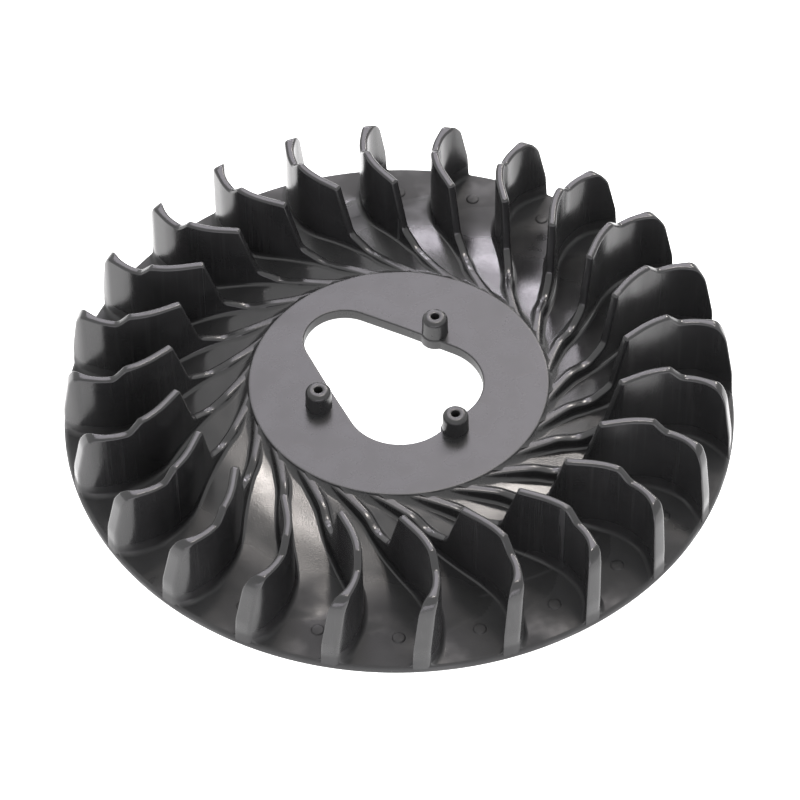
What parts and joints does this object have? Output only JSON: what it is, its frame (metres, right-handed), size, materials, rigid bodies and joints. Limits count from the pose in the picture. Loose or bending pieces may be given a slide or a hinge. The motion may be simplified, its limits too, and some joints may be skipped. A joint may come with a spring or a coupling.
{
  "type": "engine cooling fan",
  "caption": "Flat moulded fan disc for a small engine's flywheel, with swept upright blades, sloping passage floors, locating pegs and a three-sided centre opening.",
  "frame": {"origin": "centre of the disc's underside, on the crankshaft axis", "axes": "+Z along the crankshaft axis, out of the bladed face; +X and +Y lie in the disc"},
  "size_m": [0.18, 0.18, 0.0267],
  "materials": {
    "plastic": "satin moulded, dark grey"
  },
  "bodies": {
    "root": {"disc": "plastic", "hub": "plastic", "peg_1": "plastic", "peg_2": "plastic", "peg_3": "plastic", "blade_01": "plastic", "blade_02": "plastic", "blade_03": "plastic", "blade_04": "plastic", "blade_05": "plastic", "blade_06": "plastic", "blade_07": "plastic", "blade_08": "plastic", "blade_09": "plastic", "blade_10": "plastic", "blade_11": "plastic", "blade_12": "plastic", "blade_13": "plastic", "blade_14": "plastic", "blade_15": "plastic", "blade_16": "plastic", "blade_17": "plastic", "blade_18": "plastic", "blade_19": "plastic", "blade_20": "plastic", "blade_21": "plastic", "blade_22": "plastic", "blade_23": "plastic", "blade_24": "plastic", "floor_01": "plastic", "floor_02": "plastic", "floor_03": "plastic", "floor_04": "plastic", "floor_05": "plastic", "floor_06": "plastic", "floor_07": "plastic", "floor_08": "plastic", "floor_09": "plastic", "floor_10": "plastic", "floor_11": "plastic", "floor_12": "plastic", "floor_13": "plastic", "floor_14": "plastic", "floor_15": "plastic", "floor_16": "plastic", "floor_17": "plastic", "floor_18": "plastic", "floor_19": "plastic", "floor_20": "plastic", "floor_21": "plastic", "floor_22": "plastic", "floor_23": "plastic", "floor_24": "plastic"}
  },
  "joints": []
}
